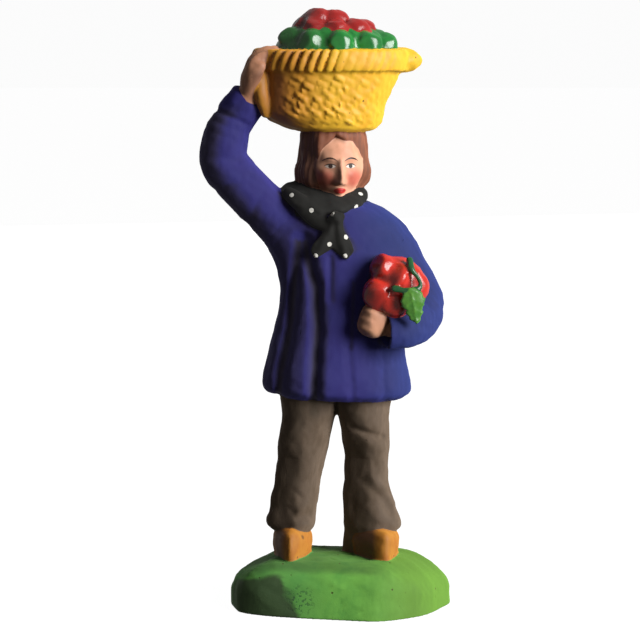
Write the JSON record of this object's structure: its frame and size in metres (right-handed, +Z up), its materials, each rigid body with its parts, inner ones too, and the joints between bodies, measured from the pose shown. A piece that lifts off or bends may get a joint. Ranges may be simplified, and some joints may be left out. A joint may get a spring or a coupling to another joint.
{
  "type": "santon figure",
  "caption": "Painted clay crib figure: a market porter on a rounded green base, right arm raised to the basket of produce on the head, a bunch of peppers under the left arm.",
  "frame": {"origin": "centre of the base's flat underside", "axes": "+Z up through the figure, which faces -Y; +X to the viewer's right"},
  "size_m": [0.0362, 0.0225, 0.0874],
  "materials": {
    "painted_clay": "hand-painted matt colours on fired clay: blue smock, grey-brown trousers, tan clogs, green base, yellow basket; the produce and peppers are varnished"
  },
  "bodies": {
    "root": {"santon_figure": "painted_clay"}
  },
  "joints": []
}
